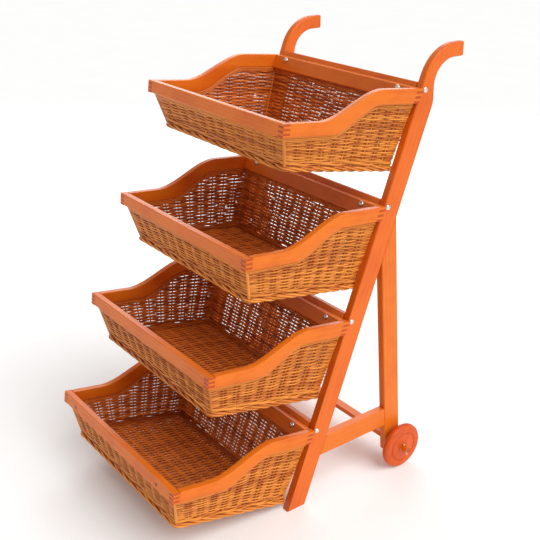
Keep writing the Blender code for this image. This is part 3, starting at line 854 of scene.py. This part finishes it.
# From a wall's outer face to its middle.
MIDDLE = 0.0035
FRONT_EDGE = 0.009
FRONT_TAPER = 0.037
BACK_TAPER = 0.039
FRONT_HALF = 0.291
FRONT_HALF_TAPER = 0.029
REAR_HALF = 0.289
REAR_HALF_TAPER = 0.020


def plan(basket, turn, lowered):
    """Across and depth of the wall at a stake number; lowered is 0 at the rim, 1 at the base."""
    front = FRONT_EDGE + MIDDLE + FRONT_TAPER * lowered
    back = basket["under_rim"] - MIDDLE - BACK_TAPER * lowered
    half = FRONT_HALF - MIDDLE - FRONT_HALF_TAPER * lowered
    rear = REAR_HALF - MIDDLE - REAR_HALF_TAPER * lowered
    across = np.array([-half, half, rear, -rear])
    depth = np.array([front, front, back, back])
    corners = np.stack([across, depth], axis=2)
    turn = turn % CORNERS[-1]
    edge = np.searchsorted(CORNERS, turn, side="right") - 1
    after = (edge + 1) % 4
    here = np.arange(len(turn))
    start, end = corners[edge, here], corners[after, here]
    share = ((turn - CORNERS[edge]) / (CORNERS[edge + 1] - CORNERS[edge]))[:, None]
    length = np.linalg.norm(end - start, axis=1)[:, None]
    points = start + (end - start) * share
    ends = ((edge, True, share * length), (after, False, (1 - share) * length))
    for corner, leaving, gone in ends:
        reach = REACH[corner, 0] + (REACH[corner, 1] - REACH[corner, 0]) * lowered
        reach = reach[:, None]
        bend = (gone + reach) / (2 * reach) if leaving else (reach - gone) / (2 * reach)
        inwards = (1 - bend) ** 2 * AHEAD[corner - 1]
        curve = corners[corner, here] + reach * (bend**2 * AHEAD[corner] - inwards)
        points = np.where(gone < reach, curve, points)
    return points


print("stakes along the sides:", np.diff(CORNERS))

# %% [markdown]
# ## The wall of a basket
# The wall's top follows the S of the rim, and its base slopes a little down to the back.
# A point of the wall is a stake number, a height over the base and a small step
# outwards, which is how a weaver thinks.

# %% Wall
BASE_FRONT = FRONT_EDGE + FRONT_TAPER
BASE_FALL = math.tan(math.radians(3.6))
NEARBY = 0.05


def wall_ends(basket, turn):
    """Heights of the wall's top and bottom at each stake number."""
    top = rim_low(plan(basket, turn, np.zeros(len(turn)))[:, 1])
    depth = plan(basket, turn, np.ones(len(turn)))[:, 1]
    return top, -basket["drop"] - (depth - BASE_FRONT) * BASE_FALL


def wall(basket, turn, high, out):
    """Points of the wall by stake number, height over the base's underside and step outwards."""
    top, low = wall_ends(basket, turn)
    lowered = 1 - high / (top - low)
    ahead = plan(basket, turn + NEARBY, lowered) - plan(basket, turn - NEARBY, lowered)
    outwards = np.stack([ahead[:, 1], -ahead[:, 0]], axis=1)
    outwards /= np.linalg.norm(outwards, axis=1)[:, None]
    flat = plan(basket, turn, lowered) + outwards * np.reshape(out, (-1, 1))
    return np.column_stack([flat, low + high])


corner = wall(baskets[0], np.array([13.0]), np.array([0.0]), 0)
print("front right corner of the first base at", rounded(corner)[0])

# %% [markdown]
# ## Rods as tubes
# A rod is a path with a radius. We lay a ring of six corners round each point of the
# path, all at once with array maths, because a basket has thousands of bends.

# %% Rings round a path
SIDES = 6
TURNS = np.arange(SIDES) * math.tau / SIDES


def rings_round(points, radius, upright):
    """Rings of corners round a path, as an array of path points by corners by axes."""
    along = np.gradient(points, axis=0)
    along /= np.linalg.norm(along, axis=1)[:, None]
    across = np.cross(along, (1.0, 0, 0) if upright else (0, 0, 1.0))
    across /= np.linalg.norm(across, axis=1)[:, None]
    over = np.cross(across, along)
    cosines = np.cos(TURNS)[None, :, None]
    sines = np.sin(TURNS)[None, :, None]
    ring = cosines * across[:, None] + sines * over[:, None]
    return points[:, None] + np.reshape(radius, (-1, 1, 1)) * ring


print("a rod of ten points has", 9 * SIDES, "faces")

# %% [markdown]
# ## Many rods in one mesh
# One mesh for all rods of a wall is far lighter than one object for each. Faces join the
# rings of a rod. Its tone goes along as an attribute, lower where it touches its
# neighbours, which is painted shade in the seams between rods. Each face gets its own place in a
# picture map, so that the colours can be baked later.

# %% Rod meshes
# How far painted shade darkens a rod's tone along the sides where it touches its neighbours.
PAINTED_SEAM_SHADE = 0.75
LIGHTER_FRONT = 0.12
TIP_SHARE = 0.45
MAP_STRETCH = 1.6


def spread_faces(mesh, count):
    """Gives every face its own place in a picture map, strip by strip."""
    across = math.ceil(MAP_STRETCH * math.sqrt(count / SIDES))
    down = math.ceil(count / SIDES / across)
    part, side = np.divmod(np.arange(count), SIDES)
    u = (part % across)[:, None] + np.array([0, 1, 1, 0])
    v = (part // across)[:, None] + (side[:, None] + np.array([0, 0, 1, 1])) / SIDES
    spots = np.stack([u / across, v / down], axis=2)
    mesh.uv_layers.new(name="OFBake").data.foreach_set("uv", spots.ravel())


def painted_seam_shade(flat):
    """Painted shade: how much darker each corner of a ring is where rods touch. Rods of a flat base
    touch at their sides.
    """
    touching = np.abs(np.cos(TURNS) if flat else np.sin(TURNS))
    return PAINTED_SEAM_SHADE * np.clip(2 * touching - 1, 0, 1)


def rod_mesh(name, rods, flat):
    """One mesh of many rods. A rod is (points, radius, tone, whether it stands upright)."""
    darker = painted_seam_shade(flat)
    corners, faces, tones, first = [], [], [], 0
    for points, radius, tone, upright in rods:
        radius = np.array(np.broadcast_to(radius, len(points)), float)
        radius[[0, -1]] *= TIP_SHARE
        corners.append(rings_round(points, radius, upright).reshape(-1, 3))
        # Rows, ropes and base rods get painted shade along the sides where they touch their
        # neighbours.
        tones.append(np.tile(tone + LIGHTER_FRONT - darker * (not upright), len(points)))
        ring = first + np.arange(len(points) - 1)[:, None] * SIDES
        side = np.arange(SIDES)[None]
        after = (side + 1) % SIDES
        quad = [ring + side, ring + SIDES + side, ring + SIDES + after, ring + after]
        faces.append(np.stack(quad, axis=2).reshape(-1, 4))
        first += len(points) * SIDES
    faces = np.concatenate(faces)
    mesh = bpy.data.meshes.new(name)
    mesh.from_pydata(np.concatenate(corners).tolist(), [], faces.tolist())
    mesh.shade_smooth()
    stored = mesh.attributes.new("tone", "FLOAT", "POINT")
    stored.data.foreach_set("value", np.concatenate(tones))
    spread_faces(mesh, len(faces))
    return mesh


def wicker_piece(basket, part, rods, flat=False):
    """Makes a part of a basket's wicker from its rods, in place of the plain solid."""
    name = f"{basket['name']}_{part}"
    mesh = rod_mesh(name, rods, flat)
    replaced = [f"{basket['name']}_wicker"]
    make_piece(name, mesh, wicker, replaced, place=basket["place"])
    print(name, len(rods), "rods,", len(mesh.polygons), "faces")


# The painted shade in the seams, corner by corner round a ring.
print("painted shade in the seams of a wall:", painted_seam_shade(False).round(2))

# %% [markdown]
# ## The weaver's hand
# No rod is straight and none is endless. A slow wander made of three sine waves moves a
# row up and down a little, and a row is cut into rods where the weaver took a new one.
# Each kind of rod has its own range of tones. The random numbers start from a fixed
# seed, so the same stand comes out each time.

# %% Wander, rod lengths and tones
STEPS = 6
ALL_ROUND = np.arange(0, CORNERS[-1] + 0.001, 1 / STEPS)
WANDER_RATES = (0.31, 0.83, 1.9)
# Lengths of rods, in stakes.
LONGEST_ROD = 17
ROD_LENGTHS = (7, 15)
TONES = {
    "stake": (0.3, 0.9),
    "row": (0.35, 1.0),
    "rope": (0.4, 0.9),
    "slanting rod": (0.3, 1.0),
    "inner rod": (0.3, 0.7),
    "rim rod": (0.6, 1.0),
    "base stick": (0.2, 0.6),
    "base rod": (0.5, 1.0),
}
rng = np.random.default_rng(11)


def tone_of(kind):
    """A random tone for a rod, 0 dark brown and 1 golden."""
    return rng.uniform(*TONES[kind])


def wave(turn, size):
    """A slow random wander along a row."""
    phases = rng.uniform(0, math.tau, 3)
    waves = [np.sin(turn * rate + phase) for rate, phase in zip(WANDER_RATES, phases)]
    return size * sum(waves) / 2


def lengths(inside):
    """Splits each stretch of a row that lies inside the wall into rods, as slices."""
    rods = []
    places = np.flatnonzero(inside)
    for stretch in np.split(places, np.flatnonzero(np.diff(places) > 1) + 1):
        if len(stretch) < STEPS:
            continue
        start, end = stretch[0], stretch[-1]
        cuts = [start]
        while end - cuts[-1] > LONGEST_ROD * STEPS:
            cuts.append(cuts[-1] + int(rng.integers(*ROD_LENGTHS)) * STEPS + STEPS // 2)
        rods += [slice(a, b + 1) for a, b in zip(cuts, cuts[1:] + [end])]
    return rods


print(len(ALL_ROUND), "points round a basket")

# %% [markdown]
# ## Weaving the walls
# The stakes stand like fence posts and each row passes in front of one and behind the
# next, the row above the other way round. A cosine of the stake number, times its own
# size, does that: rods lie flat between the stakes and bend sharply round them, which
# leaves a small slot on each side of a stake. Rows start close together at the front
# and spread towards the back, where the wall is taller. Those that meet the S of the
# rim end there, under a few rods that follow it.

# %% Stakes and rows
WEAVE = 0.0030
BASE_BAND = 0.031
RIM_BAND = 0.0070
CLOSE_PITCH = 0.0040
MORE_PITCH = 0.0008
# Above 1, the rows are at their widest before they reach the back.
SPREADS_EARLY = 1.3
RADIUS_OF_PITCH = (0.52, 0.60)
CORNER_TIGHT = 0.6
CORNER_REACH = 0.4
ROW_WANDER = 0.0004
STAKE_RADIUS = 0.0024
STAKE_POINTS = 10
STAKE_FOOT = 0.006
STAKE_IN_RIM = 0.004
# At the corners thicker posts stand a little out, or a little in at the rear: for each
# stake number its radius and its step outwards.
POSTS = {0: (0.0042, 0.001), 13: (0.0042, 0.001), 23: (0.0030, -0.001), 36: (0.0030, -0.001)}


def row_pitch(basket, turn):
    """Distance between rows: close at the front, wider towards the back."""
    depth = plan(basket, turn, np.ones(len(turn)))[:, 1]
    share = (depth - BASE_FRONT) / (basket["under_rim"] - BACK_TAPER - BASE_FRONT)
    return CLOSE_PITCH + MORE_PITCH * np.clip(share * SPREADS_EARLY, 0, 1)


def stakes_of(basket, tall):
    """The stakes of one basket, each as tall as the wall is there."""
    rods = []
    for stake in range(CORNERS[-1]):
        radius, out = POSTS.get(stake, (STAKE_RADIUS, 0))
        stand = np.full(STAKE_POINTS, float(stake))
        high = np.linspace(STAKE_FOOT, tall[stake * STEPS] + STAKE_IN_RIM, STAKE_POINTS)
        rods.append((wall(basket, stand, high, out), radius, tone_of("stake"), True))
    return rods


def woven_wall(basket):
    """All stakes and rows of one basket."""
    top, low = wall_ends(basket, ALL_ROUND)
    rods = stakes_of(basket, top - low)
    pitch = row_pitch(basket, ALL_ROUND)
    past_corner = np.abs(ALL_ROUND[:, None] - CORNERS).min(axis=1)
    tight = 1 - CORNER_TIGHT * np.exp(-((past_corner / CORNER_REACH) ** 2))
    row = 0
    while True:
        high = BASE_BAND + row * pitch
        inside = high < top - low - RIM_BAND
        if not inside.any():
            return rods
        high = high + wave(ALL_ROUND, ROW_WANDER)
        swing = np.cos(math.pi * (ALL_ROUND + row))
        points = wall(basket, ALL_ROUND, high, WEAVE * tight * swing * np.abs(swing))
        for part in lengths(inside):
            radius = pitch[part] * rng.uniform(*RADIUS_OF_PITCH)
            rods.append((points[part], radius, tone_of("row"), False))
        row += 1


for basket in baskets:
    wicker_piece(basket, "walls", woven_wall(basket))

# %% [markdown]
# ## Borders
# The base edge is a thick rope of three rods that wind round each other, with three
# slanting rods laid over it. Two more rods lie inside, where the base meets the wall.
# Under the rim, straight rods follow the wood inside and outside. These bands take the
# strain, so they are the heaviest strands of the basket.

# %% Borders
ROPE_STRANDS = 3
ROPE_RADIUS = 0.0037
ROPE_SWING = 0.0040
ROPE_HEIGHT = 0.008
ROPE_TURNS = 15
ROPE_WANDER = 0.0003
SLANTING_RODS = 3
SLANTING_RADIUS = 0.0032
SLANTING_SWING = 0.0020
SLANTING_HEIGHT = 0.0160
SLANTING_PITCH = 0.0050
SLANTING_DIP = 0.0012
INNER_RADIUS = 0.0030
# Height over the base's underside and step outwards.
INNER_RODS = ((0.0150, -0.0042), (0.0198, -0.0036))
RIM_ROD_RADIUS = 0.0022
RIM_ROD_WANDER = 0.0002
# Distance below the rim and step outwards.
RIM_RODS = (
    (0.0025, 0.0033), (0.0068, 0.0030), (0.0110, 0.0028),
    (0.0025, -0.0033), (0.0068, -0.0030), (0.0110, -0.0028),
)


def base_border(basket):
    """The rope round the base, the slanting rods over it and the rods inside."""
    rods = []
    for strand in range(ROPE_STRANDS):
        wind = -math.tau * ROPE_TURNS * ALL_ROUND / CORNERS[-1]
        wind += math.tau * strand / ROPE_STRANDS
        out = MIDDLE + ROPE_SWING * np.cos(wind)
        high = ROPE_HEIGHT + ROPE_SWING * np.sin(wind) + wave(ALL_ROUND, ROPE_WANDER)
        points = wall(basket, ALL_ROUND, high, out)
        rods.append((points, ROPE_RADIUS, tone_of("rope"), False))
    for level in range(SLANTING_RODS):
        # Each stands out at every third stake and dips in halfway between.
        wind = math.tau * (ALL_ROUND + level) / SLANTING_RODS
        out = SLANTING_SWING * np.clip(0.7 + 1.5 * np.cos(wind), -1, 1)
        high = SLANTING_HEIGHT + SLANTING_PITCH * level - SLANTING_DIP * np.sin(wind)
        points = wall(basket, ALL_ROUND, high, out)
        for part in lengths(ALL_ROUND >= 0):
            rods.append((points[part], SLANTING_RADIUS, tone_of("slanting rod"), False))
    for high, out in INNER_RODS:
        points = wall(basket, ALL_ROUND, np.full(len(ALL_ROUND), high), out)
        rods.append((points, INNER_RADIUS, tone_of("inner rod"), False))
    return rods


def rim_border(basket):
    """The rods that follow the underside of the rim, outside and inside."""
    rods = []
    top, low = wall_ends(basket, ALL_ROUND)
    for below, out in RIM_RODS:
        high = top - low - below + wave(ALL_ROUND, RIM_ROD_WANDER)
        points = wall(basket, ALL_ROUND, high, out)
        for part in lengths(ALL_ROUND >= 0):
            rods.append((points[part], RIM_ROD_RADIUS, tone_of("rim rod"), False))
    return rods


for basket in baskets:
    wicker_piece(basket, "borders", base_border(basket) + rim_border(basket))

# %% [markdown]
# ## Woven bases
# Nine sticks run across the base and rods are woven from front to back between them.
# Where a rod goes over a stick it shows as a short stroke, so the base looks striped.
# The rods fan out a little towards the wider back, and the outer ones end early, where
# the corner is rounded.

# %% Bases
BASE_HALF = 0.262
BASE_MARGIN = 0.006
BASE_LEVEL = 0.0085
BASE_CORNER = 0.020
BASE_WEAVE = 0.0024
BASE_WANDER = 0.0006
STICKS = 9
STICK_POINTS = 14
STICK_RADIUS = 0.0028
STICK_MARGIN = 0.008
ROD_SPACING = 0.0062
ROD_MARGIN = 0.003
BASE_ROD_RADII = (0.0028, 0.0032)
FAN = 0.08


def woven_base(basket):
    """Sticks across the base and rods from its front to its back."""
    rods = []
    front = BASE_FRONT + BASE_MARGIN
    back = basket["under_rim"] - BACK_TAPER - BASE_MARGIN
    half = BASE_HALF - BASE_MARGIN
    level = -basket["drop"] + BASE_LEVEL
    sticks = np.linspace(front + STICK_MARGIN, back - STICK_MARGIN, STICKS)
    for depth in sticks:
        across = np.linspace(-half, half, STICK_POINTS)
        height = np.full(STICK_POINTS, level - (depth - BASE_FRONT) * BASE_FALL)
        points = np.column_stack([across, np.full(STICK_POINTS, depth), height])
        rods.append((points, STICK_RADIUS, tone_of("base stick"), False))
    gap = sticks[1] - sticks[0]
    side_by_side = np.linspace(-half + ROD_MARGIN, half - ROD_MARGIN, int(2 * half / ROD_SPACING))
    for number, across in enumerate(side_by_side):
        past = max(abs(across) - (half - BASE_CORNER), 0)
        end = back - BASE_CORNER + math.sqrt(max(BASE_CORNER**2 - past**2, 0))
        depth = np.linspace(front, end, STICKS * STEPS + 1)
        weave = BASE_WEAVE * np.cos(math.pi * ((depth - sticks[0]) / gap + number))
        height = level - (depth - BASE_FRONT) * BASE_FALL + weave
        sway = across * (1 + FAN * (depth - front)) + wave(depth / gap, BASE_WANDER)
        points = np.column_stack([sway, depth, height])
        rods.append((points, rng.uniform(*BASE_ROD_RADII), tone_of("base rod"), False))
    return rods


for basket in baskets:
    wicker_piece(basket, "base", woven_base(basket), flat=True)

# %% [markdown]
# ## The size
# The dressed stand must keep the size of the solid model.
